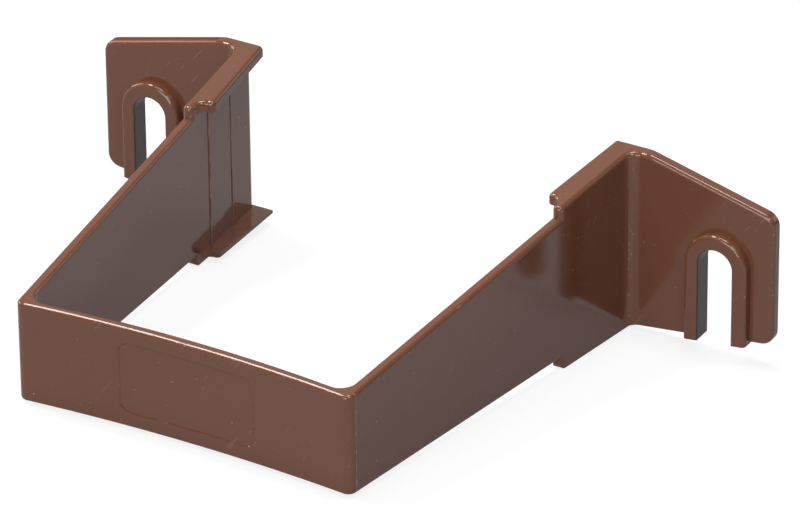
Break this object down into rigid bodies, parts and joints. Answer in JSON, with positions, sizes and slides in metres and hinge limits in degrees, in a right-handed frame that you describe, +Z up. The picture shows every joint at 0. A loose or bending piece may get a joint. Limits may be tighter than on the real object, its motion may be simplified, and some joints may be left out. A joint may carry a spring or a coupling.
{
  "type": "downspout clip",
  "caption": "Moulded plastic clip that holds a square downpipe off a wall: bowed front band, splayed arms, lipped stand-off walls and flat ears with screw slots open at the bottom.",
  "frame": {"origin": "on the wall plane that the backs of both ears lie in, midway between the ears and at the mid height of the clip", "axes": "+X along the wall to the right ear, +Y into the wall, +Z up along the downpipe"},
  "size_m": [0.1448, 0.0923, 0.0376],
  "materials": {
    "brown_plastic": "glossy moulded brown plastic with fine specks and light scratches"
  },
  "bodies": {
    "root": {"downspout_clip": "brown_plastic"}
  },
  "joints": []
}
